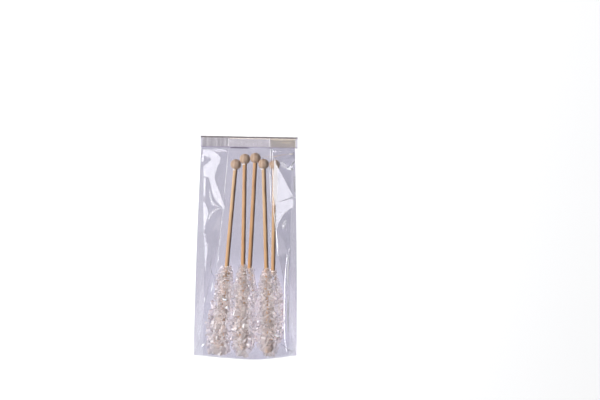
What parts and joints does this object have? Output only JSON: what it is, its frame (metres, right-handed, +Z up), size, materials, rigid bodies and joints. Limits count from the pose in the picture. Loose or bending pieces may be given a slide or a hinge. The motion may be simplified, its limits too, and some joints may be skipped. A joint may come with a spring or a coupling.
{
  "type": "bag of rock candy sticks",
  "caption": "Sealed clear gusseted bag of rock candy sticks: sugar crystals grown on wooden swizzle sticks, ball ends towards the pressed mouth.",
  "frame": {"origin": "centre of the outline, on the surface that the back panel lies on", "axes": "+X across the bag, to the right as the front panel is seen with its mouth up; +Y from the bottom of the bag to its mouth; +Z up, out of the front panel"},
  "size_m": [0.09, 0.189, 0.0445],
  "materials": {
    "clear_film": "clear glossy film",
    "seal_strip": "clear film folded over and pressed, glossy",
    "rock_candy": "translucent pale sugar crystals",
    "stick_wood": "bare turned birch"
  },
  "bodies": {
    "root": {"bag": "clear_film", "seal_strip": "seal_strip"}
  },
  "joints": []
}
